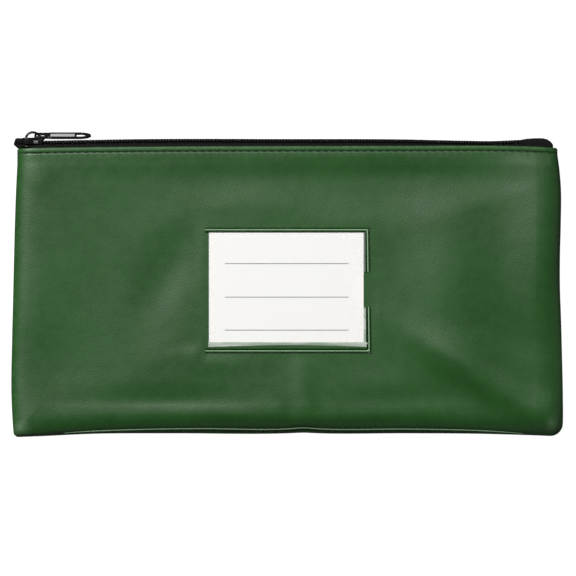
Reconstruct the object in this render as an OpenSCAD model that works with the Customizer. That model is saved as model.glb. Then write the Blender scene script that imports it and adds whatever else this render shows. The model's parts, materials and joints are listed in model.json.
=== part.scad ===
// Flat zippered deposit bag with a name-card pocket on its front.
// It lies on its back panel: +X runs along the zipper, +Y from the bottom
// seam to the zipper, and +Z out of the front panel. Millimetres.

/* [Bag] */
// Width across the bottom corners
bag_w = 279.4; // [250:0.1:310]
// Width at the mouth
mouth_w = 273.2; // [244:0.1:304]
// Height from the bottom edge to the fold of the hem
bag_h = 147; // [130:0.1:180]
// Thickness of the closed, empty bag
bag_t = 13; // [13:0.1:18]
// Thickness of the vinyl
vinyl_t = 0.6; // [0.4:0.05:0.6]
// Width of the vinyl turned inwards at each seam
seam_allowance = 4; // [4:0.5:9]
// Radius of the bottom left corner
left_corner_r = 2.5; // [1.5:0.5:6]
// Radius of the bottom right corner
right_corner_r = 6; // [2:0.5:9]
// Height of the bottom seam above the bottom edge
bottom_seam_lift = 1.8; // [0.5:0.1:3]

/* [Hem] */
// Depth of the vinyl folded under at the mouth
hem_depth = 9; // [7:0.5:12]
// Distance of the stitch line from the fold
stitch_inset = 2.7; // [2:0.1:4]
// Length from one stitch to the next
stitch_pitch = 3.9; // [2.5:0.1:5]
// Diameter of the sewing thread
thread_d = 0.3; // [0.2:0.02:0.34]

/* [Card pocket] */
// Width of the name card
card_w = 78; // [60:0.5:84]
// Height of the name card
card_h = 55.2; // [40:0.1:58]
// Thickness of the name card
card_t = 0.25; // [0.15:0.05:0.3]
// Thickness of the clear film
film_t = 0.25; // [0.15:0.05:0.4]
// Width of the welded rim round the film
rim_w = 2.2; // [1.5:0.1:3]
// Gap in the rim beside the thumb notch
notch_gap = 17.7; // [12:0.1:22]

/* [Zipper] */
// Height of the coil's middle above the fold of the hem
chain_rise = 2.2; // [2.2:0.1:4]
// Distance from one coil turn to the next
coil_pitch = 1.5; // [1.4:0.05:2]
// Thickness of the woven tape
tape_t = 0.45; // [0.3:0.05:0.45]
// Travel of the slider from closed to open
slider_travel = 238; // [200:1:248]

/* [Pull tab] */
// Length of the pull tab from its crossbar to its tip
tab_l = 28.3; // [24:0.1:34]
// Width of the pull tab
tab_w = 6.4; // [6:0.1:6.6]
// Thickness of the pull tab's rim
tab_t = 0.9; // [0.7:0.05:0.9]
// Sideways lean of the pull tab
tab_lean = 20; // [0:1:20]

/* [Hidden] */

vinyl_green = "darkgreen";
tape_black = "dimgray";

// Places. The origin is under the middle of the whole object's box.
mid = bag_t / 2;
bail_top = 6.1;
total_h = bag_h + chain_rise + bail_top;
y_bottom = -total_h / 2;
y_fold = y_bottom + bag_h;
y_chain = y_fold + chain_rise;
y_stitch = y_fold - stitch_inset;

// Half the gap between the two panels along the seams
seam_gap = 0.15;
// How far a panel's rolled edge reaches in over its face
edge_roll = 6;
// The outlines run past the mouth by this much and are cut off there
overrun = 10;
corner_steps = 6;
stitch_groove_w = 0.8;
stitch_groove_depth = 0.35;
// Share of the pitch that a stitch covers
stitch_share = 0.8;

// Zipper, as heights from the coil's middle and offsets from the bag's middle
coil_half = 0.95;
coil_wall = 0.6;
coil_head = 0.5;
coil_spine_in = 2.0;
coil_spine_out = 2.8;
tooth_w = 0.62;
cord_r = 0.3;
tape_in = 1.0;
tape_out = bag_t / 2 - 2 * vinyl_t;
tape_top = -coil_half;
tape_low = tape_top - tape_t;
sewing_t = 0.15;
zip_left = -138.4;
zip_right = 134.1;
coil_left = -137.8;
coil_right = 133.2;

// Slider, measured from its own middle
slider_x = -128.5;
slider_nose = -5.8;
slider_tail = 5.6;
plate_t = 0.8;
top_plate_low = 1.25;
top_plate_top = top_plate_low + plate_t;
base_plate_top = -1.6;
base_plate_t = 0.55;
flange_low = -0.65;
post_half = 0.6;
bail_r = 4.4;
bail_t = 1.2;
bail_w = 1.6;
bail_centre = bail_top - bail_r;
// Where the coils part round the slider's post
part_x = slider_x + 0.9;
part_l = 2.5;
part_offset = coil_head + post_half + 0.05;

// Pull tab, measured from its crossbar
crossbar_x = slider_x + 0.75;
crossbar_rise = 3.75;
crossbar_r = 0.4;
arm_w = 1.1;
head_half = 3.0;
head_window_l = 6.6;
web_start = 7.3;
web_end = 20.2;
web_t = 0.4;
tab_rim = 0.9;
tip_l = 4;
tip_power = 1.7;
tip_steps = 8;

// Card pocket
film_left = -41.2;
film_right = 42;
film_low = y_bottom + 43;
film_high = y_bottom + 106.3;
rim_h = 0.9;
film_gap = 0.5;
card_gap = 0.1;
card_right = 38.4;
card_top = y_bottom + 103.7;
notch_y = y_bottom + 75;
notch_r = 11.3;
notch_centre_x = 43.7;
card_lift = bag_t + card_gap;

// ---- Helpers ----

// Draws a shape's x and y on the Y and Z axes, and extrudes it along X
module along_x(x0, x1) {
    translate([x0, 0, 0]) rotate([90, 0, 90]) linear_extrude(x1 - x0) children();
}

// Draws a shape's x and y on the X and Z axes, and extrudes it along Y
module along_y(y0, y1) {
    translate([0, y1, 0]) rotate([90, 0, 0]) linear_extrude(y1 - y0) children();
}

// Turns a front part into its back twin
module to_back() {
    translate([0, 0, bag_t]) mirror([0, 0, 1]) children();
}

// A box from its lowest to its highest corner
module box(low, high) {
    translate(low) cube(high - low);
}

// Half the bag's width at height y
function half_w(y) = bag_w / 2 + (mouth_w - bag_w) / 2 * (y - y_bottom) / bag_h;

// A quarter round of a corner, from one angle to the next
function corner(x, y, r, a0) =
    [for (i = [0:corner_steps]) let (a = a0 + 90 * i / corner_steps) [x + r * cos(a), y + r * sin(a)]];

// The bag's outline, drawn in by inset, with its bottom edge raised by lift
function outline(inset, lift) =
    let (low = y_bottom + lift + inset, high = y_fold + overrun,
         rl = max(left_corner_r - inset, 0.5), rr = max(right_corner_r - inset, 0.5),
         bottom_half = half_w(y_bottom) - inset, top_half = half_w(high) - inset)
    concat([[top_half, high], [-top_half, high]],
        corner(-bottom_half + rl, low + rl, rl, 180),
        corner(bottom_half - rr, low + rr, rr, 270));

// A closed skin through rings of [inset, z], capped by its first and last ring
module skin(rings, lift) {
    count = len(outline(0, lift));
    points = [for (ring = rings) for (p = outline(ring[0], lift)) [p[0], p[1], ring[1]]];
    sides = [for (r = [0:len(rings) - 2]) for (i = [0:count - 1])
        let (j = (i + 1) % count, a = r * count + i, b = r * count + j)
        each [[a, b, b + count], [a, b + count, a + count]]];
    first = [for (i = [count - 1:-1:0]) i];
    last = [for (i = [0:count - 1]) (len(rings) - 1) * count + i];
    polyhedron(points, concat([first], [last], sides), convexity = 6);
}

// ---- Panels ----

// A vinyl panel: its face, rolled edges, turned seam allowance and folded hem
module panel(lift) {
    low = mid + seam_gap;
    rings = [[edge_roll, bag_t], [3.4, bag_t - 0.5], [1.6, bag_t - 1.6], [0.5, bag_t - 3.4],
        [0.05, bag_t - 5.2], [0, low], [seam_allowance, low], [seam_allowance, low + vinyl_t],
        [vinyl_t, low + vinyl_t], [vinyl_t + 0.06, bag_t - 5.2], [vinyl_t + 0.55, bag_t - 3.6],
        [vinyl_t + 1.5, bag_t - 2], [vinyl_t + 3.1, bag_t - 1.05], [edge_roll + 0.3, bag_t - vinyl_t]];
    inner_half = half_w(y_fold) - edge_roll - 0.5;
    difference() {
        union() {
            difference() {
                skin(rings, lift);
                box([-bag_w, y_fold - vinyl_t, -1], [bag_w, y_fold + 2 * overrun, bag_t + 1]);
            }
            // the vinyl folded under, and its round fold
            box([-inner_half, y_fold - hem_depth, bag_t - 2 * vinyl_t],
                [inner_half, y_fold - vinyl_t, bag_t - vinyl_t / 2]);
            translate([-inner_half, y_fold - vinyl_t, bag_t - vinyl_t])
                rotate([0, 90, 0]) cylinder(r = vinyl_t, h = 2 * inner_half, $fn = 32);
        }
        // the line that the stitches pull down
        box([-bag_w, y_stitch - stitch_groove_w / 2, bag_t - stitch_groove_depth],
            [bag_w, y_stitch + stitch_groove_w / 2, bag_t + 1]);
    }
}

// One stitch of thread from x0 to x1
module stitch(l) {
    rotate([0, 90, 0]) cylinder(d = thread_d, h = l, $fn = 16);
}

// A row of stitches along X, centred on x = 0
module stitch_row(half) {
    count = floor(2 * half / stitch_pitch);
    for (i = [0:count - 1])
        translate([(i - count / 2 + (1 - stitch_share) / 2) * stitch_pitch, 0, 0])
            stitch(stitch_pitch * stitch_share);
}

module hem_stitching() {
    translate([0, y_stitch, bag_t - stitch_groove_depth + thread_d / 2 + 0.01])
        stitch_row(half_w(y_stitch) - edge_roll);
}

// The seam threads, on the back panel's turned-in vinyl
seam_thread_z = mid - seam_gap - vinyl_t - thread_d / 2 - 0.01;
seam_thread_in = seam_allowance / 2;

module side_seam_stitching(side) {
    seam_l = bag_h - 24;
    translate([side * (half_w(0) - seam_thread_in), y_bottom + 12 + seam_l / 2, seam_thread_z])
        rotate([0, 0, 90 + side * atan((bag_w - mouth_w) / 2 / bag_h)])
            stitch_row(seam_l / 2);
}

module bottom_seam_stitching() {
    translate([0, y_bottom + seam_thread_in, seam_thread_z]) stitch_row(bag_w / 2 - 12);
}

// ---- Zipper ----

// The woven tape: a strip under the coil, bent down under the hem
module tape() {
    bend_y = y_chain + tape_top;
    inside_half = half_w(y_fold) - edge_roll - 0.4;
    along_x(zip_left, zip_right)
        polygon([[y_chain + tape_low, mid + tape_in], [bend_y, mid + tape_in], [bend_y, mid + tape_out],
            [y_fold + 0.1, mid + tape_out], [y_fold + 0.1, mid + tape_out - tape_t],
            [y_chain + tape_low, mid + tape_out - tape_t]]);
    box([-inside_half, y_fold - hem_depth, mid + tape_out - tape_t],
        [inside_half, y_fold + 0.1, mid + tape_out]);
}

// How far a coil stands aside at x, to pass the slider's post at rest
function parting(x) = part_offset * min(1, max(0, (part_x - x) / part_l));

// One layer of the coil seen from above: its spine, with a tooth for each turn
module coil_layer(phase) {
    count = floor((coil_right - coil_left - phase) / coil_pitch);
    starts = [for (i = [0:count - 1]) coil_left + phase + i * coil_pitch];
    teeth = [for (x = starts) let (aside = parting(x + tooth_w / 2))
        each [[x, coil_spine_in + aside], [x, aside - coil_head], [x + tooth_w, aside - coil_head],
            [x + tooth_w, coil_spine_in + aside]]];
    polygon(concat(teeth, [[coil_right, coil_spine_in], [coil_right, coil_spine_out],
        [part_x, coil_spine_out], [part_x - part_l, coil_spine_out + part_offset],
        [coil_left, coil_spine_out + part_offset]]));
}

// The wall that joins the coil's two layers along its outer side
module coil_back_wall() {
    wall = 0.4;
    polygon([[coil_right, coil_spine_out - wall], [coil_right, coil_spine_out], [part_x, coil_spine_out],
        [part_x - part_l, coil_spine_out + part_offset], [coil_left, coil_spine_out + part_offset],
        [coil_left, coil_spine_out + part_offset - wall],
        [part_x - part_l, coil_spine_out + part_offset - wall], [part_x, coil_spine_out - wall]]);
}

module coil(phase) {
    translate([0, y_chain, mid]) {
        along_y(coil_half - coil_wall, coil_half) coil_layer(phase);
        along_y(-coil_half, coil_wall - coil_half) coil_layer(phase);
        along_y(coil_wall - coil_half, coil_half - coil_wall) coil_back_wall();
    }
}

// The cord that lies inside the coil
module coil_cord() {
    translate([coil_left, y_chain, mid + coil_spine_in])
        rotate([0, 90, 0]) cylinder(r = cord_r, h = coil_right - coil_left, $fn = 16);
}

// The threads that sew the coil to its tape: one row over it and one under
module coil_stitching() {
    row_w = 0.4;
    row_at = mid + coil_spine_in;
    box([coil_left, y_chain + coil_half, row_at - row_w / 2],
        [coil_right, y_chain + coil_half + sewing_t, row_at + row_w / 2]);
    box([coil_left, y_chain + tape_low - sewing_t, row_at - row_w / 2],
        [coil_right, y_chain + tape_low, row_at + row_w / 2]);
}

// Crosswise threads that close an end of the zipper and stop the slider
module bartack(x0) {
    rows = 4;
    row_gap = 0.6;
    half = 3.4;
    for (i = [0:rows - 1]) for (y = [coil_half + sewing_t, tape_low - sewing_t - thread_d])
        translate([x0 + i * row_gap, y_chain + y + thread_d / 2 + 0.01 * sign(y), mid - half])
            cylinder(d = thread_d, h = 2 * half, $fn = 16);
}

// ---- Slider and pull tab ----

// The plan of the slider's plates: wide at the nose, narrow at the tail
module slider_plan() {
    side = [[slider_nose, 3.4], [slider_nose + 1.4, 4.6], [-0.5, 4.4], [2, 3.7],
        [slider_tail - 0.8, 3.7], [slider_tail, 2.9]];
    polygon(concat(side, [for (i = [len(side) - 1:-1:0]) [side[i][0], -side[i][1]]]));
}

// The flange that holds one coil in
module slider_flange() {
    nose = slider_nose + 1.4;
    polygon([[nose, 4.6], [-0.5, 4.4], [2, 3.7], [slider_tail - 0.8, 3.7], [slider_tail - 0.8, 3],
        [1.6, 3], [-0.9, 4.05], [nose, 4.1]]);
}

// The post that parts the coils, as a wedge that points to the tail
module slider_post() {
    polygon([[-5.2, -0.4], [-4.2, -post_half], [-2.4, -post_half], [-0.8, 0],
        [-2.4, post_half], [-4.2, post_half], [-5.2, 0.4]]);
}

module slider_body() {
    color("dimgray") translate([slider_x, y_chain, mid]) {
        along_y(top_plate_low, top_plate_top) slider_plan();
        along_y(base_plate_top - base_plate_t, base_plate_top) slider_plan();
        along_y(base_plate_top - 0.1, top_plate_low + 0.1) slider_post();
        along_y(flange_low, top_plate_low + 0.1) slider_flange();
        along_y(flange_low, top_plate_low + 0.1) mirror([0, 1]) slider_flange();
        // the bail that the pull tab hangs on
        intersection() {
            translate([0, bail_centre, -bail_w / 2]) difference() {
                cylinder(r = bail_r, h = bail_w, $fn = 64);
                translate([0, 0, -1]) cylinder(r = bail_r - bail_t, h = bail_w + 2, $fn = 64);
            }
            box([-bail_r - 1, top_plate_top - 0.2, -bail_w], [bail_r + 1, bail_top + 1, bail_w]);
        }
    }
}

// Half the pull tab's width at a distance along it
function tab_half(x) = x < tab_l - tip_l
    ? head_half + (tab_w / 2 - head_half) * min(1, max(0, x / web_start))
    : tab_w / 2 * (1 - pow((x - tab_l + tip_l) / tip_l, tip_power) * 0.9);

// The outline of the pull tab, drawn in by inset from x0 to x1
module tab_shape(x0, x1, inset) {
    xs = concat([x0, web_start], [for (i = [0:tip_steps])
        min(x1, tab_l - tip_l + tip_l * i / tip_steps)]);
    side = [for (x = xs) [x, tab_half(x) - inset]];
    polygon(concat(side, [for (i = [len(side) - 1:-1:0]) [side[i][0], -side[i][1]]]));
}

module tab_hole() {
    hole_start = web_end + 0.3;
    hole_half = tab_w / 2 - tab_rim;
    hole_end = tab_l - 1.6;
    polygon([[hole_start, -hole_half], [hole_end - 2.4, -hole_half], [hole_end - 0.8, -1.3],
        [hole_end, 0], [hole_end - 0.8, 1.3], [hole_end - 2.4, hole_half], [hole_start, hole_half]]);
}

module pull_tab() {
    color("dimgray") translate([crossbar_x, y_chain + crossbar_rise, mid]) rotate([tab_lean, 0, 0]) {
        along_y(-tab_t / 2, tab_t / 2) difference() {
            tab_shape(-crossbar_r, tab_l, 0);
            // the window that the bail passes through
            translate([-1, arm_w - head_half]) square([head_window_l + 1, 2 * (head_half - arm_w)]);
            tab_hole();
            translate([web_start, tab_rim - tab_w / 2]) square([web_end - web_start, tab_w - 2 * tab_rim]);
        }
        // the thin web between the rims
        along_y(-web_t / 2, web_t / 2)
            translate([web_start - 0.1, tab_rim - tab_w / 2 - 0.1])
                square([web_end - web_start + 0.2, tab_w - 2 * tab_rim + 0.2]);
        translate([0, 0, 0.2 - head_half]) cylinder(r = crossbar_r, h = 2 * head_half - 0.4, $fn = 32);
    }
}

// ---- Card pocket ----

// The clear film and its welded rim, open on the left and beside the notch
module window_film() {
    color("white") {
        difference() {
            box([film_left, film_low, bag_t + film_gap],
                [film_right, film_high, bag_t + film_gap + film_t]);
            translate([notch_centre_x, notch_y, bag_t]) cylinder(r = notch_r, h = 2, $fn = 96);
        }
        for (y = [film_low, film_high - rim_w])
            box([film_left, y, bag_t], [film_right, y + rim_w, bag_t + rim_h]);
        for (y = [[film_low, notch_y - notch_gap / 2], [notch_y + notch_gap / 2, film_high]])
            box([film_right - rim_w, y[0], bag_t], [film_right, y[1], bag_t + rim_h]);
    }
}

module name_card() {
    color("ivory")
        box([card_right - card_w, card_top - card_h, card_lift], [card_right, card_top, card_lift + card_t]);
}

// ---- Nodes ----

color(vinyl_green) to_back() panel(0);  // back_panel
color("black") to_back() hem_stitching();  // back_hem_stitching
color(tape_black) to_back() tape();  // back_zipper_tape
color("black") to_back() coil(coil_pitch / 2);  // back_coil
color("gray") to_back() coil_cord();  // back_coil_cord
color("gray") to_back() coil_stitching();  // back_coil_stitching
color("black") side_seam_stitching(-1);  // left_seam_stitching
color("black") side_seam_stitching(1);  // right_seam_stitching
color("black") bottom_seam_stitching();
color("black") bartack(-137.2);  // left_zipper_bartack
color("black") bartack(130);  // right_zipper_bartack
color(vinyl_green) panel(bottom_seam_lift);  // front_panel
color("black") hem_stitching();  // front_hem_stitching
color(tape_black) tape();  // front_zipper_tape
color("black") coil(0);  // front_coil
color("gray") coil_cord();  // front_coil_cord
color("gray") coil_stitching();  // front_coil_stitching
window_film();
name_card();
slider_body();
pull_tab();
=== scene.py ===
import json
import math

import bpy
import numpy as np
from mathutils import Matrix, Vector


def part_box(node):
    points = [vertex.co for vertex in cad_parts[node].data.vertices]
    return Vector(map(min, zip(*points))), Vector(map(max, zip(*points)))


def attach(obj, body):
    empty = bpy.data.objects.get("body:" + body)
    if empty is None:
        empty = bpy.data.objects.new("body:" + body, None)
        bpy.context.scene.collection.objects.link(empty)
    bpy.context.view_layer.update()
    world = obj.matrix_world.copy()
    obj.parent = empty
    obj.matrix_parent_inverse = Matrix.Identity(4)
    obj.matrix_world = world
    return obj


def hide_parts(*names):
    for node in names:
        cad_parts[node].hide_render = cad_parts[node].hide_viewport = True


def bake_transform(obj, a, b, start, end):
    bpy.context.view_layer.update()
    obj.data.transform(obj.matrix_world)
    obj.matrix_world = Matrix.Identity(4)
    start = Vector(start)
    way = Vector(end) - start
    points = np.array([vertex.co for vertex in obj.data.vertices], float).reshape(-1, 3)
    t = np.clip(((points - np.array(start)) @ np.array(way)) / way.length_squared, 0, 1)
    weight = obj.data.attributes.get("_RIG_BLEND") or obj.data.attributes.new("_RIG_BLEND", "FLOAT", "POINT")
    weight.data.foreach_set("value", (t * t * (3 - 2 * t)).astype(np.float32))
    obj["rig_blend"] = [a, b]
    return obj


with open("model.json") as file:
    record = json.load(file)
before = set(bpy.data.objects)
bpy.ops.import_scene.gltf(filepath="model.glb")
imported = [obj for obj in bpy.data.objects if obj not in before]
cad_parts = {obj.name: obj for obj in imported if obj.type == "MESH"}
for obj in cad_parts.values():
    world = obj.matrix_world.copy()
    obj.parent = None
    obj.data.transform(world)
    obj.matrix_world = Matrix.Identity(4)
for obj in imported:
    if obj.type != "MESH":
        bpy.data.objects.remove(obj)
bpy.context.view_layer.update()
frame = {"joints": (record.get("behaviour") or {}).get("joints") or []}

# Everything below is in millimetres in the CAD's frame, until a mesh is made.
MM = 0.001


def node_box(node):
    low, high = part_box(node)
    return np.array(low) / MM, np.array(high) / MM


back_low, back_high = node_box("back_panel")
front_high = node_box("front_panel")[1]
coil_low, coil_high = node_box("back_coil")
film_low, film_high = node_box("window_film")
card_low, card_high = node_box("name_card")
slider_low, slider_high = node_box("slider_body")

SIDE = back_high[0]                      # half the CAD's width
TOP = front_high[2]                      # the front face
MID = TOP / 2                            # the seam's plane
Y_BOTTOM = back_low[1]
Y_FOLD = front_high[1]
Y_CHAIN = (coil_low[1] + coil_high[1]) / 2
SKIN = 0.5                               # the vinyl's thickness
COIL_PITCH = 1.5


# ---- Small helpers ----

def smoothstep(a, b, x):
    t = np.clip((np.asarray(x, float) - a) / (b - a), 0, 1)
    return t * t * (3 - 2 * t)


def curve_through(points, x):
    """A smooth curve through (x, value) points, by cubic pieces."""
    px, py = (np.array(c, float) for c in zip(*points))
    x = np.clip(np.asarray(x, float), px[0], px[-1])
    slope = np.gradient(py, px)
    i = np.clip(np.searchsorted(px, x) - 1, 0, len(px) - 2)
    h = px[i + 1] - px[i]
    t = (x - px[i]) / h
    return ((1 + 2 * t) * (1 - t) ** 2 * py[i] + t * (1 - t) ** 2 * h * slope[i]
            + t * t * (3 - 2 * t) * py[i + 1] + t * t * (t - 1) * h * slope[i + 1])


def bell(x, centre, width):
    return np.exp(-((x - centre) / width) ** 2)


WAVES = 7


def waves(x, y, seed, size):
    """Smooth random undulation between about -1 and 1, of roughly that size in mm."""
    rng = np.random.default_rng(seed)
    total = np.zeros(np.broadcast(x, y).shape)
    for _ in range(WAVES):
        angle, phase = rng.uniform(0, math.tau, 2)
        k = math.tau / size * rng.uniform(0.6, 1.5)
        total += np.sin(k * (x * math.cos(angle) + y * math.sin(angle)) + phase)
    return total / WAVES ** 0.5 / 1.5


def new_object(name, data):
    obj = bpy.data.objects.new(name, data)
    bpy.context.scene.collection.objects.link(obj)
    return obj


def mesh_piece(name, verts, faces, materials, face_slots=None, sharp=None):
    """A new object from millimetre points, smooth shaded."""
    mesh = bpy.data.meshes.new(name)
    mesh.from_pydata([tuple(float(c) * MM for c in v) for v in verts], [], faces)
    mesh.validate()
    for m in materials:
        mesh.materials.append(m)
    if face_slots is not None:
        mesh.polygons.foreach_set("material_index", face_slots)
    mesh.polygons.foreach_set("use_smooth", [True] * len(mesh.polygons))
    if sharp:
        mesh.set_sharp_from_angle(angle=math.radians(sharp))
    return new_object(name, mesh)


def evaluated_mesh(obj):
    """A new mesh of the object as its modifiers or its curve make it."""
    bpy.context.view_layer.update()
    return bpy.data.meshes.new_from_object(obj.evaluated_get(bpy.context.evaluated_depsgraph_get()))


def paint(mesh, name, values):
    """Gives each vertex a value that the material reads."""
    mesh.attributes.new(name, "FLOAT", "POINT").data.foreach_set("value", np.asarray(values, np.float32))


class Shape:
    """Collects vertices and faces for one mesh."""

    def __init__(self):
        self.verts, self.faces = [], []

    def add(self, verts, faces):
        base = len(self.verts)
        self.verts += [tuple(v) for v in verts]
        self.faces += [tuple(i + base for i in f) for f in faces]

    def tube(self, path, radius, sides=6, flat=1.0, up=(0, 0, 1)):
        """A closed tube along a path. flat squeezes it along up."""
        path = np.array(path, float)
        radius = np.broadcast_to(np.asarray(radius, float), len(path))
        along = np.gradient(path, axis=0)
        along /= np.linalg.norm(along, axis=1)[:, None]
        across = np.cross(along, np.array(up, float))
        across /= np.maximum(np.linalg.norm(across, axis=1), 1e-9)[:, None]
        lift = np.cross(across, along)
        turn = np.arange(sides) * math.tau / sides
        self.loft(path[:, None] + radius[:, None, None] * (
            across[:, None] * np.cos(turn)[:, None] + lift[:, None] * np.sin(turn)[:, None] * flat))

    def loft(self, sections):
        """A closed solid through equal-length loops of points."""
        n, m = len(sections), len(sections[0])
        faces = [(r * m + i, r * m + (i + 1) % m, (r + 1) * m + (i + 1) % m, (r + 1) * m + i)
                 for r in range(n - 1) for i in range(m)]
        faces.append(tuple(range(m - 1, -1, -1)))
        faces.append(tuple((n - 1) * m + i for i in range(m)))
        self.add([p for s in sections for p in s], faces)

    def piece(self, name, material, sharp=None):
        return mesh_piece(name, self.verts, self.faces, [material], sharp=sharp)


def stitches(shape, path, pitch, share, radius, sink, normal):
    """Stitches of thread along a path, each one diving in at its ends."""
    steps = np.linalg.norm(np.diff(path, axis=0), axis=1)
    run = np.concatenate([[0], np.cumsum(steps)])
    for i in range(int(run[-1] / pitch)):
        gap = pitch * (1 - share) / 2
        s = np.linspace(i * pitch + gap, (i + 1) * pitch - gap, 6)
        points = np.stack([np.interp(s, run, path[:, c]) for c in range(3)], 1)
        dive = np.array([1, 0.25, 0, 0, 0.25, 1]) * sink
        shape.tube(points - dive[:, None] * normal, radius * np.array([0.7, 1, 1, 1, 1, 0.7]), 6)


# ---- Materials ----

class Look:
    """A material whose shader takes its colour, roughness and bump from nodes."""

    def __init__(self, name, **fixed):
        self.mat = bpy.data.materials.new(name)
        self.mat.use_nodes = True
        self.nodes, self.links = self.mat.node_tree.nodes, self.mat.node_tree.links
        self.shader = self.nodes["Principled BSDF"]
        for key, value in fixed.items():
            self.shader.inputs[key.replace("_", " ")].default_value = value
        self.place = self.nodes.new("ShaderNodeTexCoord").outputs["Object"]

    def node(self, kind, inputs=None, **settings):
        n = self.nodes.new(kind)
        for key, value in settings.items():
            setattr(n, key, value)
        for key, value in (inputs or {}).items():
            if isinstance(value, bpy.types.NodeSocket):
                self.links.new(value, n.inputs[key])
            else:
                n.inputs[key].default_value = value
        return n

    def mapped(self, scale=(1, 1, 1), turn=(0, 0, 0)):
        inputs = {"Vector": self.place, "Scale": scale, "Rotation": turn}
        return self.node("ShaderNodeMapping", inputs).outputs[0]

    def noise(self, size, detail=3, vector=None, rough=0.5):
        """Noise whose blotches are about size mm across."""
        inputs = {"Vector": vector or self.place, "Scale": 1 / (size * MM), "Detail": detail,
                  "Roughness": rough}
        return self.node("ShaderNodeTexNoise", inputs).outputs["Fac"]

    def cells(self, size, feature, vector=None, **more):
        """Cells about size mm across."""
        inputs = {"Vector": vector or self.place, "Scale": 1 / (size * MM), **more}
        return self.node("ShaderNodeTexVoronoi", inputs, feature=feature).outputs["Distance"]

    def bands(self, scale, distortion, turn, squeeze=(1, 1, 1)):
        """Bands across a turned direction, for a weave, a knit or a twist."""
        inputs = {"Vector": self.mapped(squeeze, turn), "Scale": scale, "Distortion": distortion}
        return self.node("ShaderNodeTexWave", inputs).outputs["Fac"]

    def ramp(self, value, low, high, a=0.0, b=1.0):
        return self.node("ShaderNodeMapRange", {"Value": value, "From Min": low, "From Max": high,
                                                "To Min": a, "To Max": b}).outputs["Result"]

    def maths(self, kind, a, b):
        return self.node("ShaderNodeMath", {0: a, 1: b}, operation=kind).outputs[0]

    def mix(self, value, a, b):
        n = self.node("ShaderNodeMix", data_type="RGBA")
        for index, v in ((0, value), (6, a), (7, b)):
            if isinstance(v, bpy.types.NodeSocket):
                self.links.new(v, n.inputs[index])
            else:
                n.inputs[index].default_value = v if index == 0 else (*v, 1)
        return n.outputs[2]

    def colour(self, socket):
        self.links.new(socket, self.shader.inputs["Base Color"])

    def roughness(self, socket):
        self.links.new(socket, self.shader.inputs["Roughness"])

    def bump(self, height, depth, strength=1.0):
        """Bump of that depth in mm, on top of any bump there is."""
        n = self.node("ShaderNodeBump", {"Height": height, "Distance": depth * MM, "Strength": strength})
        normal = self.shader.inputs["Normal"]
        if normal.is_linked:
            self.links.new(normal.links[0].from_socket, n.inputs["Normal"])
        self.links.new(n.outputs[0], normal)

    def attribute(self, name):
        return self.node("ShaderNodeAttribute", attribute_name=name).outputs["Fac"]


def vinyl_look():
    """Embossed green vinyl: leather grain in pebbles and creases, with painted shade in the creases, a satin
    top coat, paler worn edges, painted light on the back's lower lip, painted highlights along the front's
    bottom edge and corners, and painted shade in the stitch groove.
    """
    look = Look("vinyl_green", Roughness=0.46, IOR=1.5)
    pebbles = look.cells(1.15, "SMOOTH_F1", Smoothness=0.6)
    creases = look.cells(1.7, "DISTANCE_TO_EDGE", look.mapped((1, 1.25, 1), (0, 0, 0.5)))
    fine = look.noise(0.32, 2)
    patches = look.noise(46, 4, rough=0.55)
    mottle = look.noise(5.5, 3)
    tone = look.mix(look.ramp(patches, 0.32, 0.68), (0.0108, 0.059, 0.0077), (0.0154, 0.079, 0.0117))
    tone = look.mix(look.ramp(mottle, 0.35, 0.7, 0, 0.35), tone, (0.0205, 0.091, 0.0162))
    # painted shade in the grain's creases
    tone = look.mix(look.ramp(creases, 0.0, 0.12, 0.45, 0.0), tone, (0.0050, 0.034, 0.0035))
    # paler where the edge attribute says: worn edges and the hem's fold, and painted light on the back's
    # lower lip
    scuffs = look.ramp(look.noise(2.4, 4), 0.42, 0.62, 0.15, 0.75)
    worn = look.maths("MULTIPLY", look.attribute("edge"), scuffs)
    tone = look.mix(worn, tone, (0.050, 0.150, 0.044))
    # painted highlight along the front's bottom edge, its bead and the bottom corners
    tone = look.mix(look.attribute("line"), tone, (0.165, 0.280, 0.155))
    # painted shade in the stitch groove
    look.colour(look.mix(look.attribute("stitch"), tone, (0.0008, 0.0050, 0.0007)))
    satin = look.maths("ADD", look.ramp(mottle, 0.3, 0.7, 0.38, 0.43),
                       look.ramp(creases, 0.0, 0.15, 0.12, 0.0))
    look.roughness(look.maths("ADD", satin, look.maths("MULTIPLY", look.attribute("stitch"), 0.3)))
    look.bump(look.ramp(creases, 0.0, 0.16), 0.015)
    look.bump(pebbles, 0.024, 0.8)
    look.bump(fine, 0.010)
    return look.mat


def backing_look():
    """The knitted cloth on the vinyl's inner side."""
    look = Look("vinyl_backing", Roughness=0.9)
    knit = look.maths("MULTIPLY", *(look.bands(330, 1.0, (0, 0, turn)) for turn in (0.78, -0.78)))
    tone = look.mix(knit, (0.055, 0.085, 0.052), (0.115, 0.150, 0.105))
    look.colour(look.mix(look.ramp(look.noise(8, 3), 0.35, 0.7, 0, 0.4), tone, (0.08, 0.12, 0.07)))
    look.bump(knit, 0.12)
    return look.mat


def thread_look(name, dark, light):
    """Twisted sewing thread."""
    look = Look(name, Roughness=0.62)
    look.shader.inputs["Sheen Weight"].default_value = 0.08
    twist = look.bands(900, 0.6, (0, 0, 0.9))
    look.colour(look.mix(twist, dark, light))
    look.bump(twist, 0.05)
    return look.mat


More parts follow.
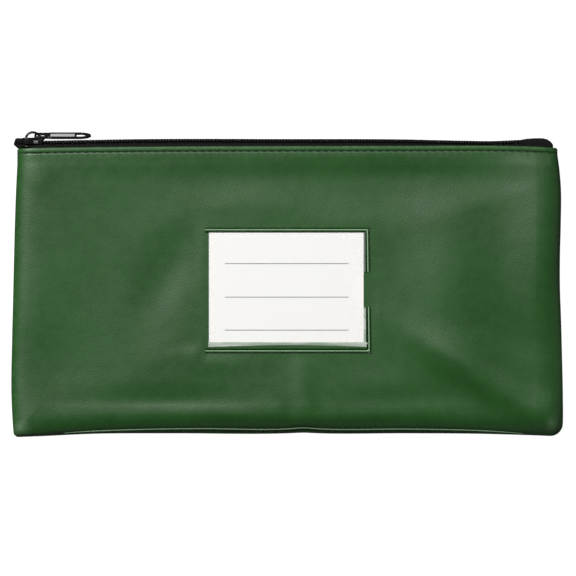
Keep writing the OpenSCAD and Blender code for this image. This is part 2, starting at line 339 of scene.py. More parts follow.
def tape_look():
    """Herringbone-woven polyester tape."""
    look = Look("tape_woven", Roughness=0.78, IOR=1.25)
    ribs = [look.bands(420, 0.4, turn, (1, 1, 0.6)) for turn in ((0, 0, 0.75), (0, 0.9, -0.75))]
    weave = look.maths("MULTIPLY", *ribs)
    tone = look.mix(weave, (0.0026, 0.0024, 0.0023), (0.0090, 0.0080, 0.0074))
    dust = look.ramp(look.noise(3.5, 3), 0.45, 0.7, 0, 0.5)
    look.colour(look.mix(dust, tone, (0.0068, 0.0060, 0.0054)))
    look.bump(weave, 0.09)
    return look.mat


def nylon_look():
    """Dyed nylon wire with drawing marks."""
    look = Look("coil_nylon", Roughness=0.58, IOR=1.20)
    marks = look.noise(0.5, 3, look.mapped((3, 1, 1)))
    look.colour(look.mix(marks, (0.0030, 0.0030, 0.0030), (0.0080, 0.0075, 0.0075)))
    look.roughness(look.ramp(marks, 0.3, 0.7, 0.42, 0.58))
    look.bump(marks, 0.01)
    return look.mat


def enamel_look():
    """Black stoved enamel over die-cast zinc, rubbed paler in places."""
    look = Look("enamel_black", Roughness=0.26, IOR=1.42)
    look.shader.inputs["Coat Weight"].default_value = 0.15
    look.shader.inputs["Coat Roughness"].default_value = 0.12
    peel = look.noise(0.9, 2)
    rubs = look.ramp(look.noise(2.6, 5, rough=0.65), 0.60, 0.72)
    look.colour(look.mix(rubs, (0.0035, 0.0035, 0.0038), (0.022, 0.022, 0.023)))
    look.roughness(look.maths("ADD", look.ramp(peel, 0.3, 0.7, 0.20, 0.32),
                              look.ramp(rubs, 0, 1, 0, 0.12)))
    look.bump(peel, 0.015)
    return look.mat


def metal_look():
    """Bare worn zinc on the slider's rubbed side."""
    look = Look("zinc_worn", Metallic=1.0, Roughness=0.35)
    scratch = look.noise(0.6, 4, look.mapped((0.3, 3, 1)))
    look.colour(look.mix(scratch, (0.26, 0.26, 0.27), (0.52, 0.52, 0.53)))
    look.roughness(look.ramp(scratch, 0.3, 0.7, 0.28, 0.5))
    look.bump(scratch, 0.02)
    return look.mat


def web_look():
    """The pull tab's recessed web, light grey as a painted reflection."""
    look = Look("web_painted_reflection", Roughness=0.34, IOR=1.5)
    grey = look.noise(2.2, 4, look.mapped((0.4, 2, 1)))
    # painted reflection: a light grey on a black enamel tab
    look.colour(look.mix(grey, (0.34, 0.34, 0.35), (0.62, 0.62, 0.63)))
    look.roughness(look.ramp(grey, 0.3, 0.7, 0.28, 0.42))
    look.bump(grey, 0.02)
    return look.mat


def film_look():
    """Clear vinyl film, faintly green and hazy, with fine scuffs."""
    look = Look("film_clear", Roughness=0.12, IOR=1.5, Alpha=0.07)
    look.colour(look.mix(look.noise(14, 4), (0.92, 0.93, 0.92), (0.97, 0.97, 0.96)))
    look.roughness(look.ramp(look.noise(6, 4), 0.35, 0.7, 0.08, 0.24))
    look.bump(look.noise(9, 2), 0.12)
    return look.mat


def bulge_look():
    """The film's free strip under the card, where it bends down to the weld: its pale, half-opaque colour is
    a painted reflection of the light.
    """
    look = Look("film_bulge", Roughness=0.10, IOR=1.5, Alpha=0.62)
    reflection_streak = look.noise(22, 3, look.mapped((1, 6, 1)))
    # painted reflection, in streaks along the strip
    look.colour(look.mix(look.ramp(reflection_streak, 0.40, 0.62), (0.46, 0.58, 0.45), (0.78, 0.85, 0.77)))
    look.roughness(look.ramp(look.noise(4, 3), 0.3, 0.7, 0.08, 0.2))
    look.bump(look.noise(6, 2), 0.08)
    return look.mat


def weld_look():
    """The welded rim, where film and vinyl are pressed into one, with painted shade in its grooves and a
    painted highlight along its crest.
    """
    look = Look("weld_rim", Roughness=0.24, IOR=1.5)
    knurl = look.bands(260, 0.3, (0, 0, 0.785))
    tone = look.mix(look.noise(3, 3), (0.020, 0.085, 0.017), (0.036, 0.125, 0.032))
    groove = look.attribute("groove")
    # painted highlight along the crest, where the groove value is below 0
    tone = look.mix(look.ramp(groove, 0, -1), tone, (0.250, 0.410, 0.240))
    # painted shade in the grooves, where the groove value is above 0
    look.colour(look.mix(look.ramp(groove, 0, 1), tone, (0.0012, 0.0100, 0.0010)))
    look.roughness(look.ramp(look.noise(2, 3), 0.3, 0.7, 0.18, 0.32))
    look.bump(knurl, 0.02, 0.5)
    return look.mat


def paper_look():
    """Uncoated white card with a fibrous surface."""
    look = Look("card_paper", Roughness=0.78)
    fibre = look.noise(0.7, 5, look.mapped((1, 2.6, 1), (0, 0, 0.3)), 0.7)
    shade = look.noise(30, 3)
    tone = look.mix(fibre, (0.82, 0.81, 0.785), (0.87, 0.86, 0.84))
    look.colour(look.mix(look.ramp(shade, 0.35, 0.7, 0, 0.3), tone, (0.85, 0.84, 0.81)))
    look.bump(fibre, 0.02)
    return look.mat


def ink_look():
    """Grey printed ink, broken up by the paper's tooth."""
    look = Look("ink_grey", Roughness=0.7)
    tooth = look.ramp(look.noise(0.4, 3), 0.35, 0.7)
    look.colour(look.mix(tooth, (0.070, 0.070, 0.074), (0.17, 0.17, 0.175)))
    look.bump(look.noise(0.3, 2), 0.005)
    return look.mat


VINYL, BACKING = vinyl_look(), backing_look()
GREEN_THREAD = thread_look("thread_green", (0.0012, 0.006, 0.0010), (0.004, 0.016, 0.0035))
BLACK_THREAD = thread_look("thread_black", (0.003, 0.003, 0.003), (0.010, 0.010, 0.010))
TAPE, NYLON, ENAMEL, ZINC, WEB = tape_look(), nylon_look(), enamel_look(), metal_look(), web_look()
FILM, BULGE, WELD, PAPER, INK = film_look(), bulge_look(), weld_look(), paper_look(), ink_look()


# ---- How a piece follows the bag's bodies ----

RIGID = 43.0                             # half the width that lifts as one, with the card pocket
SEAM_X = SIDE - 3.5                      # from here out the front stays with the back


def bend_front(obj, name, slot, *nodes):
    """Splits a front piece at the middle and lets each half bend from the seam to the pocket."""
    mesh = obj.data
    co = [tuple(v.co) for v in mesh.vertices]
    normals = [tuple(v.vector) for v in mesh.vertex_normals]
    for side, word in ((-1, "left"), (1, "right")):
        keep = [p for p in mesh.polygons if side * sum(co[i][0] for i in p.vertices) > 0]
        used = sorted({i for p in keep for i in p.vertices})
        index = {v: i for i, v in enumerate(used)}
        half = bpy.data.meshes.new(f"{name}_{word}")
        half.from_pydata([co[i] for i in used], [], [[index[i] for i in p.vertices] for p in keep])
        for m in mesh.materials:
            half.materials.append(m)
        half.polygons.foreach_set("material_index", [p.material_index for p in keep])
        half.polygons.foreach_set("use_smooth", [True] * len(keep))
        for a in mesh.attributes:
            if a.domain == "POINT" and a.data_type == "FLOAT" and not a.name.startswith("."):
                values = np.zeros(len(mesh.vertices), np.float32)
                a.data.foreach_get("value", values)
                paint(half, a.name, values[used])
        half.normals_split_custom_set_from_vertices([normals[i] for i in used])
        piece = new_object(f"{name}_{word}", half)
        start, end = ((side * x * MM, Y_FOLD * MM, MID * MM) for x in (SEAM_X, RIGID))
        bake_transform(piece, "bag", "front", start=start, end=end)
        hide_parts(*nodes)
    bpy.data.objects.remove(obj)


def fixed(obj, body, slot, *nodes):
    """Lets a piece ride on one body, in place of the nodes that are named."""
    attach(obj, body)
    if nodes:
        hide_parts(*nodes)


def on_its_leaf(obj, side, piece, slot, node):
    """Puts a piece on the bag's front or back, in place of that side's node."""
    if side > 0:
        bend_front(obj, f"front_{piece}", slot, f"front_{node}")
    else:
        obj.name = f"back_{piece}"
        fixed(obj, "bag", slot, f"back_{node}")


# ---- Outline and surface of the panels ----

# How far the outline lies inside the CAD's widest line, by height above the bottom edge
LEFT_INSET = [(0, 1.2), (8, 0.6), (20, 0.0), (50, 0.3), (70, 0.8), (92, 1.3), (120, 2.1), (136, 2.8),
              (147, 3.4)]
RIGHT_INSET = [(0, 0.8), (8, 0.3), (20, 0.3), (44, 0.8), (62, 1.3), (76, 1.8), (92, 1.8), (108, 1.4),
               (128, 1.4), (138, 2.3), (147, 3.6)]
LEFT_CORNER, RIGHT_CORNER = 2.2, 6.0
# Height of the bottom edges above the CAD's lowest line, along the bag
BACK_HEM = [(-139, 0.2), (-124, 0.8), (-100, 1.9), (-60, 2.2), (0, 2.2), (8, 2.5), (16, 2.2), (60, 2.2),
            (100, 1.9), (124, 1.2), (139, 0.6)]
FRONT_HEM = [(-139, 0.5), (-128, 1.2), (-118, 2.1), (-105, 3.1), (-90, 3.8), (-70, 4.4), (-44, 4.7),
             (0, 4.6), (8, 5.1), (16, 4.6), (60, 4.5), (77, 4.3), (100, 3.6), (115, 2.6), (123, 1.9),
             (131, 1.2), (139, 0.8)]
# How far the fold of the hem and the zipper's chain rise above their straight CAD lines
FOLD_RISE = [(-139, -0.75), (-128, -0.5), (-100, -0.05), (-60, 0.3), (0, 0.5), (60, 0.6), (105, 0.65),
             (122, 0.3), (139, -0.5)]
CHAIN_RISE = [(-139, 0.05), (-124, 0.1), (-100, 0.5), (-80, 0.85), (0, 0.95), (60, 0.75), (90, 0.1),
              (104, -0.05), (112, 0.25), (118, 0.55), (128, 0.6), (139, 0.6)]

# Distance in from the outline and height above the seam, round the rolled edge, up to the flat
ROLL = [(4.2, 0.32), (2.2, 0.26), (0.9, 0.34), (0.25, 0.62), (0.0, 1.10), (0.06, 1.80), (0.35, 2.70),
        (0.95, 3.65), (1.9, 4.50), (3.2, 5.20), (4.9, 5.75), (7.0, 6.15), (9.6, 6.38)]
BACK_BOTTOM_ROLL = [(5.0, -0.35), (3.4, -0.45), (2.1, -0.40), (0.9, 0.05), (0.25, 0.75), (0.0, 1.60),
                    (0.25, 2.60), (0.9, 3.60)] + ROLL[8:]
OUTERMOST = 4                            # the ring of ROLL that is the outline
INNER = 13.0                             # where the roll ends and the face begins
STITCH_LINE = 2.6                        # below the fold of the hem
STITCH_PITCH = 3.9
FOLD_R = 0.62                            # the hem's fold, to the middle of the gap inside it
FOLD_TURNS = (30, 60, 90, 120, 150, 180) # degrees round it
HEM_TURN = (1.2, 2.4, 3.8, 5.2, 6.6, 8.0)   # and down the inside, to the hem's cut edge
LOWEST_SWELL = 0.9                       # the rolled edge stays as it is below this height


def corner_in(distance, r):
    """How far a round corner of radius r lies in at that distance from the other edge."""
    d = np.clip(distance, 0, r)
    return r - np.sqrt(np.maximum(r * r - (r - d) ** 2, 0))


def left_edge(y, bottom):
    return -SIDE + curve_through(LEFT_INSET, y - Y_BOTTOM) + corner_in(y - bottom, LEFT_CORNER)


def right_edge(y, bottom):
    return SIDE - curve_through(RIGHT_INSET, y - Y_BOTTOM) - corner_in(y - bottom, RIGHT_CORNER)


def fold_y(x):
    return Y_FOLD + curve_through(FOLD_RISE, x)


def chain_y(x):
    return Y_CHAIN + curve_through(CHAIN_RISE, x)


# The sag under the hem along the bag: how deep, and how far below the fold the face is up again
SAG = [(-135, 0.20), (-100, 0.50), (-60, 0.65), (-10, 1.15), (30, 1.45), (70, 1.50), (92, 1.15),
       (105, 0.65), (118, 0.3), (127, 0.1), (135, 0.0)]
SAG_REACH = [(-135, 40), (-100, 58), (-50, 36), (-10, 31), (30, 44), (65, 42), (80, 38), (92, 33),
             (105, 28), (118, 25), (135, 24)]
SAG_FLOOR = 16                           # how far below the fold it is deepest

# How far in from the right edge the face starts to fall, by height
RIGHT_FALL = [(-78, 5), (-60, 7), (-40, 11), (0, 16), (20, 12), (40, 9), (60, 6), (70, 5)]
RIGHT_SLOPE = 0.20                       # the fall's depth as a share of that width
BOTTOM_FALL, BOTTOM_DEPTH = 9.5, 1.9     # how far up it starts to fall to the bottom, and how deep

# Soft dips and swells of the front face: centre, half-lengths along and across, turn in degrees, height
SWELLS = [
    (-126, 54, 7, 7, 0, 0.42),           # the bulge in the top left corner
    (-63, 2, 30, 12, 63, -1.25),         # the dips left of the pocket
    (-90, 8, 40, 26, 61, -1.0),
    (-118, -44, 24, 22, 0, -1.5),        # the lower left falls away
    (-66, -58.5, 38, 6.0, 1, -0.95),     # the valley above the bottom seam, left, and its banks
    (-42, -36, 22, 8, 0, 0.70),
    (-30, -64, 60, 4.0, 1, 0.35),
    (38, -66.3, 30, 2.2, 3, 0.60),       # the thin crests on both sides of the pinch
    (-20, -66.3, 32, 2.2, -2.5, 0.50),
    (52, -57.5, 28, 5.0, 1, -0.50),
    (9.5, -51, 16, 6.5, -71, 0.90),      # the crease up from the pinch in the bottom seam
    (16, -60, 10, 4.0, -66, -0.50),
    (1, -65, 6, 3.4, -80, -0.50),
    (82, -4, 42, 21, 88, 2.60),          # the swell right of the pocket
    (133, 22, 46, 20, 90, 3.60),         # the one by the right edge
    (116, -26, 18, 10, -24, -0.80),
    (101, -49.5, 40, 7.6, -33, 3.40),    # the long diagonal fold at the lower right
    (77, -53, 24, 8.0, -27, -0.90),
    (56, -50, 20, 10, 0, 0.5),
    (8, -60, 40, 13, 0, 0.80),
    (93.5, -33, 16, 9, -33, 1.50),
    (131, -63, 9, 9, 0, 1.60),           # the lower right corner stands up a little
]


def swell(x, y):
    """Height of the front face over its flat CAD plane."""
    below = Y_FOLD - y
    reach = curve_through(SAG_REACH, x)
    down, up = smoothstep(4, SAG_FLOOR, below), smoothstep(0, 1, (below - SAG_FLOOR) / (reach - SAG_FLOOR))
    total = -curve_through(SAG, x) * down * (1 - up)
    for cx, cy, along, across, turn, height in SWELLS:
        a = math.radians(turn)
        u = ((x - cx) * math.cos(a) + (y - cy) * math.sin(a)) / along
        v = (-(x - cx) * math.sin(a) + (y - cy) * math.cos(a)) / across
        total += height * np.exp(-u * u - v * v)
    # it falls away along the bottom and the right, steepest at the edge, but less by the corner
    held = 1 - 0.6 * np.exp(-((x - 127) ** 2 + (y + 57) ** 2) / 150)
    low = np.clip(1 - (y - Y_BOTTOM - 3) / BOTTOM_FALL, 0, 1.2) ** 2
    total -= BOTTOM_DEPTH * low * smoothstep(-SIDE + 8, -SIDE + 45, x) * held
    width = curve_through(RIGHT_FALL, y)
    total -= RIGHT_SLOPE * width * np.clip(1 - (SIDE - 1.5 - x) / width, 0, 1.1) ** 2 * held
    total += 0.12 * waves(x, y, 11, 58) + 0.02 * waves(x, y, 12, 19)
    # flat under the card, and never above the plane where the card slides out to the left
    pocket = (1 - smoothstep(40, 47, np.abs(x))) * (1 - smoothstep(31, 38, np.abs(y + 2.5)))
    lane = smoothstep(-126, -120, x) * (1 - smoothstep(-46, -40, x))
    lane *= 1 - smoothstep(27, 33, np.abs(y + 1.5))
    total = np.where(total > 0, total * (1 - lane), total)
    return total * (1 - pocket)


def back_swell(x, y):
    """Height of the back over its flat CAD plane: it lies flat except for soft lifts inwards."""
    lift = np.maximum(0, waves(x, y, 21, 90) - 0.25) * 0.5
    return -(lift + np.maximum(0, waves(x, y, 22, 26) - 0.5) * 0.12)


def clear_of_hem(below):
    """0 at the fold of the hem and 1 where the face is free to swell and sag."""
    return smoothstep(1.5, 9, below)


def crown_at(inset):
    """Height of the rolled edge over the seam's plane at a distance in from the outline."""
    insets, heights = zip(*ROLL[OUTERMOST:], (INNER, MID))
    return np.interp(inset, insets, heights)


def face_height(x, y, side):
    """Height of a panel's face over the seam's plane, without the hem's relief."""
    rise = swell(x, y) if side > 0 else back_swell(x, y)
    inset = SIDE - LEFT_INSET[-1][1] - np.abs(x)
    return crown_at(inset) * (1 + rise / MID * clear_of_hem(Y_FOLD - y))


def hem_relief(x, below):
    """The hem's relief at a distance below its fold: a crowned band, the stitch line, its puckers."""
    phase = np.cos(math.tau * x / STITCH_PITCH)
    groove = -0.40 * bell(below, STITCH_LINE, 0.36) * (0.86 + 0.14 * phase)
    holes = -0.24 * bell(below, STITCH_LINE, 0.30) * np.maximum(0, phase) ** 6
    band = 0.12 * np.sin(np.clip(below / STITCH_LINE, 0, 1) * math.pi)
    pucker = 0.03 * phase * bell(below, STITCH_LINE + 1.0, 1.3)
    step = -0.10 * smoothstep(STITCH_LINE - 0.6, STITCH_LINE + 0.6, below)
    return groove + holes + band + pucker + step


# The face's rows and columns lie closer together towards its edges and in the hem
X_IN, Y_IN = SIDE - INNER - 1.2, Y_BOTTOM + INNER + 3.2   # the rectangle that the rolled edge ends on
TOP_ROW = Y_FOLD - FOLD_R
NEAR_BOTTOM = np.array([0, 0.5, 1.0, 1.6, 2.3, 3.1, 4.0, 5.0, 6.2, 7.6, 9.2, 11])
NEAR_TOP = np.array([0, 0.35, 0.8, 1.1, 1.35, 1.6, 1.8, 2.0, 2.25, 2.5, 2.8, 3.2, 3.8, 4.6, 5.6, 6.8,
                     8.2, 9.8, 11.6])
NEAR_SIDE = np.array([0, 0.45, 0.9, 1.4, 2.0, 2.7])
ROWS = np.concatenate([Y_IN + NEAR_BOTTOM, np.arange(Y_IN + 13, TOP_ROW - 13, 2.0),
                       TOP_ROW - NEAR_TOP[::-1]])
COLS = np.concatenate([-X_IN + NEAR_SIDE, np.arange(-X_IN + 3.4, X_IN - 3.3, 0.78),
                       X_IN - NEAR_SIDE[::-1]])
NX, NY = len(COLS), len(ROWS)


def outline_rays(hem):
    """Each ray of the rolled edge, down the left, along the bottom and up the right: x and y where it
    starts on the outline and where it ends on the face."""
    height = (ROWS - Y_IN) / (TOP_ROW - Y_IN)
    low_left, low_right = (Y_BOTTOM + curve_through(hem, s * (SIDE - 2)) for s in (-1, 1))
    # the sides end, and the bottom begins, halfway round each corner
    cut_left, cut_right = ((1 - math.sqrt(0.5)) * r for r in (LEFT_CORNER, RIGHT_CORNER))
    y_left = low_left + cut_left + height * (TOP_ROW - low_left - cut_left)
    y_right = low_right + cut_right + height * (TOP_ROW - low_right - cut_right)
    x_left, x_right = left_edge(y_left, low_left), right_edge(y_right, low_right)
    x_low = x_left[0] + (COLS + X_IN) / (2 * X_IN) * (x_right[0] - x_left[0])
    y_low = Y_BOTTOM + curve_through(hem, x_low)
    y_low += corner_in(x_low - (x_left[0] - cut_left), LEFT_CORNER)
    y_low += corner_in(x_right[0] + cut_right - x_low, RIGHT_CORNER)
    left = np.stack([x_left, y_left, np.full(NY, -X_IN), ROWS], 1)[:0:-1]
    low = np.stack([x_low, y_low, COLS, np.full(NX, Y_IN)], 1)
    right = np.stack([x_right, y_right, np.full(NY, X_IN), ROWS], 1)[1:]
    return np.concatenate([left, low, right])


def turned_hem(line, crown, surface):
    """Rings of points from the top edge over the fold and down inside, sagging with the face."""
    radius = np.minimum(FOLD_R, line[:, 2] / 2 - 0.12)
    offsets = [(math.sin(a) * radius, (1 - math.cos(a)) * radius) for a in np.radians(FOLD_TURNS)]
    for down in HEM_TURN:
        sag = surface(line[:, 0], line[:, 1] - down) * crown * clear_of_hem(down + FOLD_R)
        offsets.append((-down, 2 * radius + 0.03 * down - sag))
    return np.array([np.stack([line[:, 0], line[:, 1] + dy, line[:, 2] - dz], 1) for dy, dz in offsets])


def sheet_quads(lines):
    """The faces between rows of vertices, each row against the next."""
    return [quad for a, b in zip(lines, lines[1:])
            for quad in zip(a[:-1].tolist(), a[1:].tolist(), b[1:].tolist(), b[:-1].tolist())]


def panel(front):
    """The outer skin of one panel, from its turned-in seam round the rolled edge to the folded hem."""
    surface = swell if front else back_swell
    rays = outline_rays(FRONT_HEM if front else BACK_HEM)
    # the roll changes from the side's to the bottom's over the corners
    bottomness = np.zeros(len(rays))
    bottomness[NY - 1:NY - 1 + NX] = 1
    kernel = np.hanning(17)
    bottomness = np.convolve(np.pad(bottomness, 8, mode="edge"), kernel / kernel.sum(), "valid")
    # the left side is worn a little, the right side and the bottom hardly
    worn = np.where(rays[:, 0] > 0, 0.12, 0.45) * (1 - bottomness) + (0.1 if front else 0.5) * bottomness
    rings = []
    for (side_in, side_z), (low_in, low_z) in zip(ROLL, ROLL if front else BACK_BOTTOM_ROLL):
        inward = (side_in * (1 - bottomness) + low_in * bottomness) / INNER
        z = side_z * (1 - bottomness) + low_z * bottomness
        x, y = (rays[:, :2] + (rays[:, 2:] - rays[:, :2]) * inward[:, None]).T
        # wear round the rolled edge, and painted light on the back's lower lip, which lies in the front's
        # shadow
        wear_and_lip_light = worn * bell(z, 3.2, 1.8) + (0 if front else 0.8) * bottomness * (z < 1.2)
        # a painted highlight along the front's bottom edge
        painted_highlight = (0.3 if front else 0) * bottomness * bell(z, 1.6, 1.1)
        rings.append(np.stack([x, y, z, inward, wear_and_lip_light, painted_highlight], 1))
    gx, gy = (g.ravel() for g in np.meshgrid(COLS, ROWS))
    face = np.stack([gx, gy, np.full(gx.shape, MID), np.ones(gx.shape), gx * 0, gx * 0], 1)
    x, y, z, inward, wear_and_lip_light, painted_highlight = np.concatenate([*rings, face]).T

    crown = z / MID
    below = Y_FOLD - y
    rise = surface(x, y) * clear_of_hem(below) * np.clip(crown, 0, 1)
    relief = hem_relief(x, below) * smoothstep(0.0, 0.07, inward) * (below < 8)
    wear_and_lip_light = np.maximum(wear_and_lip_light, 0.4 * bell(below, 0.9, 0.8))    # along the hem's fold
    # painted shade along the stitch groove, darkest at the needle holes
    dark = (0.55 + 0.45 * np.cos(math.tau * x / STITCH_PITCH)) * np.exp(-((below - STITCH_LINE) / 0.38) ** 4)
    dark *= smoothstep(0.0, 0.05, inward)
    z = np.where(z > LOWEST_SWELL, np.maximum(z + rise + relief, LOWEST_SWELL), z)
    # the top rows follow the fold
    y = y + curve_through(FOLD_RISE, x) * smoothstep(Y_FOLD - 30, Y_FOLD - 4, y)
    # and the bottom corners get a painted highlight
    for cx, cy, reach in ((-134.5, -72.5, 3.2), (134.0, -70.5, 3.0)):
        painted_highlight = np.maximum(painted_highlight, 0.42 * np.exp(-((x - cx) ** 2 + (y - cy) ** 2) / reach ** 2) * front)
    verts = np.stack([x, y, z], 1)

    roll_ids = np.arange(len(ROLL) * len(rays)).reshape(len(ROLL), -1)
    face_ids = roll_ids.size + np.arange(NX * NY).reshape(NY, NX)
    face_rim = np.concatenate([face_ids[:0:-1, 0], face_ids[0], face_ids[1:, -1]])
    # over the fold and back down inside, along the top edge from the left outline to the right one
    top_line = np.concatenate([roll_ids[OUTERMOST:, 0], face_ids[-1], roll_ids[OUTERMOST:, -1][::-1]])
    turned = turned_hem(verts[top_line], np.clip(crown[top_line], 0, 1), surface)
    hem_ids = len(verts) + np.arange(len(turned) * len(top_line)).reshape(len(turned), -1)
    quads = (sheet_quads([*roll_ids, face_rim]) + sheet_quads(face_ids)
             + sheet_quads([top_line, *hem_ids]))
    verts = np.concatenate([verts, *turned])
    hem_wear = np.zeros(hem_ids.shape)
    hem_wear[:3] = 0.8                   # the outer half of the fold
    wear_and_lip_light = np.concatenate([wear_and_lip_light, hem_wear.ravel()])
    dark, painted_highlight = (np.concatenate([a, np.zeros(hem_ids.size)]) for a in (dark, painted_highlight))

    if front:
        verts[:, 2] = MID + verts[:, 2]
    else:
        verts[:, 2] = MID - verts[:, 2]
        quads = [q[::-1] for q in quads]
    obj = mesh_piece("front_panel_skin" if front else "back_panel_skin", verts, quads, [VINYL, BACKING])
    # edge holds the wear and the lip's painted light, stitch the painted shade in the stitch groove, line
    # the painted highlights
    for attribute, values in (("edge", wear_and_lip_light), ("stitch", dark), ("line", painted_highlight)):
        paint(obj.data, attribute, values)
    solid = obj.modifiers.new("thickness", "SOLIDIFY")
    solid.thickness = SKIN * MM
    solid.offset = -1
    solid.material_offset = 1
    solid.material_offset_rim = 0
    solid.use_quality_normals = True
    baked = evaluated_mesh(obj)
    obj.modifiers.clear()
    obj.data = baked
    return obj


def lower_bead():
    """The fine welt along the front's lower edge, with a painted highlight all along it."""
    x = np.arange(-113, 120.1, 1.5)
    y = Y_BOTTOM + curve_through(FRONT_HEM, x) - 0.04
    shape = Shape()
    taper = np.minimum(smoothstep(-113, -96, x), 1 - smoothstep(100, 120, x))
    shape.tube(np.stack([x, y, np.full(len(x), MID + 2.3)], 1), 0.12 + 0.17 * taper, 8)
    obj = shape.piece("front_lower_bead", VINYL)
    # painted highlight all along the bead
    paint(obj.data, "line", np.full(len(obj.data.vertices), 0.75))
    return obj


bend_front(panel(True), "front_panel_skin", "vinyl", "front_panel")
bend_front(lower_bead(), "front_lower_bead", "vinyl", "front_panel")
fixed(panel(False), "bag", "vinyl", "back_panel")


# ---- Stitching ----

HEM_STITCHES = 69


def hem_path(side):
    """The line of a hem's stitches, at the bottom of its groove."""
    half = STITCH_PITCH * HEM_STITCHES / 2
    x = np.arange(-half, half + 0.1 * STITCH_PITCH, STITCH_PITCH / 6)
    inset = np.minimum(x - left_edge(Y_FOLD - 3, Y_BOTTOM), right_edge(Y_FOLD - 3, Y_BOTTOM) - x)
    return np.stack([x, fold_y(x) - STITCH_LINE, MID + side * (crown_at(inset) - 0.34)], 1)


for side in (1, -1):
    row = Shape()
    stitches(row, hem_path(side), STITCH_PITCH, 0.84, 0.17, 0.24, np.array((0, 0, side)))
    on_its_leaf(row.piece("thread", GREEN_THREAD), side, "hem_thread", "green_thread", "hem_stitching")

SEAM_IN = 3.0                            # the side seams' stitches from the outline
SEAM_Z = MID - 0.36 - SKIN - 0.12        # just inside the back's turned-in seam
seam_y = np.arange(Y_BOTTOM + 14, Y_FOLD - 12, 1.0)
seam_x = np.arange(-SIDE + 12, SIDE - 12, 1.0)
seams = {
    "left": np.stack([left_edge(seam_y, Y_BOTTOM) + SEAM_IN, seam_y, np.full(len(seam_y), SEAM_Z)], 1),
    "right": np.stack([right_edge(seam_y, Y_BOTTOM) - SEAM_IN, seam_y, np.full(len(seam_y), SEAM_Z)], 1),
    "bottom": np.stack([seam_x, Y_BOTTOM + curve_through(BACK_HEM, seam_x) + SEAM_IN + 0.6,
                        np.full(len(seam_x), SEAM_Z + 0.72)], 1),
}
for seam_name, seam_path in seams.items():
    row = Shape()
    stitches(row, seam_path, 3.4, 0.84, 0.16, 0.1, np.array((0, 0, -1)))
    thread = row.piece(f"{seam_name}_seam_thread", GREEN_THREAD)
    fixed(thread, "bag", "green_thread", f"{seam_name}_seam_stitching")


# ---- Plates ----

def flipped(side):
    """An outline mirrored in its first axis, still going round the same way."""
    return [(a, -b) for a, b in reversed(side)]


def plate(shape_points, low, high, bevel, material, holes=()):
    """A bevelled plate: an outline in x and z, between two heights y."""
    data = bpy.data.curves.new("plate", "CURVE")
    data.dimensions = "2D"
    data.fill_mode = "BOTH"
    data.extrude = (high - low) / 2 - bevel
    data.bevel_depth = bevel
    data.bevel_resolution = 2
    data.offset = -bevel
    for outline in (shape_points, *holes):
        spline = data.splines.new("POLY")
        spline.points.add(len(outline) - 1)
        for p, (px, pz) in zip(spline.points, outline):
            p.co = (px, pz, 0, 1)
        spline.use_cyclic_u = True
    obj = new_object("plate", data)
    mesh = evaluated_mesh(obj)
    bpy.data.objects.remove(obj)
    bpy.data.curves.remove(data)
    # from the curve's plane to x and z, with its depth along y
    mesh.transform(Matrix(((1, 0, 0, 0), (0, 0, 1, (low + high) / 2), (0, 1, 0, 0), (0, 0, 0, 1))))
    mesh.flip_normals()
    mesh.materials.clear()
    mesh.materials.append(material)
    return mesh


def joined(name, meshes, place):
    """One object from several meshes in mm, with place applied."""
    verts, faces, slots, mats = [], [], [], []
    for mesh in meshes:
        base = len(verts)
        mat = mesh.materials[0]
        if mat not in mats:
            mats.append(mat)
        verts += [place @ v.co for v in mesh.vertices]
        faces += [[i + base for i in p.vertices] for p in mesh.polygons]
        slots += [mats.index(mat)] * len(mesh.polygons)
    return mesh_piece(name, verts, faces, mats, slots, 38)


def flat_plate(points, thickness, z, bevel, name, material, body, slot, *nodes):
    """A bevelled plate that lies flat: an outline in x and y, centred on a height z."""
    mesh = plate(flipped(points), -thickness / 2, thickness / 2, bevel, material)
    place = Matrix(((1, 0, 0, 0), (0, 0, -1, 0), (0, 1, 0, z), (0, 0, 0, 1)))
    fixed(joined(name, [mesh], place), body, slot, *nodes)


def eased(points, r):
    """A closed outline whose corners are rounded by about r."""
    out = []
    n = len(points)
    for i in range(n):
        a, b, c = (np.array(points[(i + d) % n], float) for d in (-1, 0, 1))
        ra, rc = (min(r, np.linalg.norm(a - b) / 2.1), min(r, np.linalg.norm(c - b) / 2.1))
        p, q = b + (a - b) / np.linalg.norm(a - b) * ra, b + (c - b) / np.linalg.norm(c - b) * rc
        for t in (0, 0.25, 0.5, 0.75, 1):
            out.append(tuple((1 - t) ** 2 * p + 2 * t * (1 - t) * b + t * t * q))
    return out


# ---- Zipper ----

COIL_LEFT, COIL_RIGHT = coil_low[0] + 0.4, 119.0
WIRE_R = 0.33
LOOP_OUT, LOOP_REACH, LOOP_HALF = 1.12, 1.50, 0.66   # a loop's middle, its half height and half width
SLIDER_X = (slider_low[0] + slider_high[0]) / 2 + 0.1
PART_X, PART_L, PART = SLIDER_X + 0.9, 2.6, 1.15     # where the coils part, how fast and how far


def parting(x):
    """How far a coil stands aside, where the slider's post holds the two apart."""
    return PART * smoothstep(PART_X, PART_X - PART_L, x)


def chain_tube(shape, side, x, above, out, radius, sides, **more):
    """A tube along the chain, that far above its middle and out from the seam's plane."""
    shape.tube(np.stack([x, chain_y(x) + above, MID + side * out], 1), radius, sides, **more)


